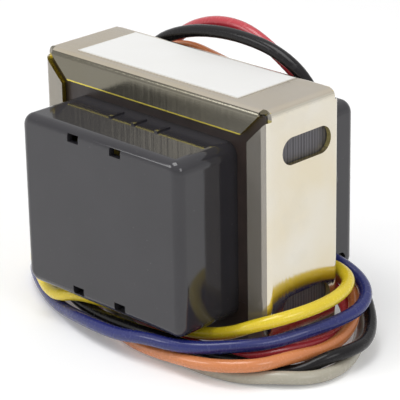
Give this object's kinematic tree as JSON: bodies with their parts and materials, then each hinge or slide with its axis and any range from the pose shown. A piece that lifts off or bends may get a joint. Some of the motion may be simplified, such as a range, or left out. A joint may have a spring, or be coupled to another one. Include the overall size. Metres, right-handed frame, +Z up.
{
  "type": "control transformer",
  "caption": "Small control transformer: laminated core in a folded zinc-plated channel frame, black moulded end covers, and coloured hook-up leads looped round its foot.",
  "frame": {"origin": "centre of the frame's footprint, on the surface it rests on", "axes": "+Z up; +X towards the leg beside which the leads come out; the front cover faces -Y"},
  "size_m": [0.0996, 0.0578, 0.0646],
  "materials": {
    "zinc_steel": "zinc plate with a pale yellow chromate tint",
    "core_steel": "varnished sheet edges",
    "bobbin_nylon": "natural moulded nylon",
    "copper": "enamelled wire",
    "tape": "polyester tape",
    "cover_plastic": "polished black moulding",
    "label_film": "bare printed film",
    "yellow_insulation": "satin PVC",
    "blue_insulation": "satin PVC",
    "orange_insulation": "satin PVC",
    "black_insulation": "satin PVC",
    "red_insulation": "satin PVC",
    "white_insulation": "satin PVC",
    "tinned_copper": "tinned strands"
  },
  "bodies": {
    "root": {"channel_frame": "zinc_steel", "e_laminations": "core_steel", "i_laminations": "core_steel", "bobbin": "bobbin_nylon", "primary_winding": "copper", "secondary_winding": "copper", "primary_wrap": "tape", "secondary_wrap": "tape", "front_cover": "cover_plastic", "rear_cover": "cover_plastic", "label": "label_film", "yellow_lead": "yellow_insulation", "yellow_lead_tip": "tinned_copper", "blue_lead": "blue_insulation", "blue_lead_tip": "tinned_copper", "orange_lead": "orange_insulation", "orange_lead_tip": "tinned_copper", "black_lead": "black_insulation", "black_lead_tip": "tinned_copper", "red_lead": "red_insulation", "red_lead_tip": "tinned_copper", "white_lead": "white_insulation", "white_lead_tip": "tinned_copper"}
  },
  "joints": []
}
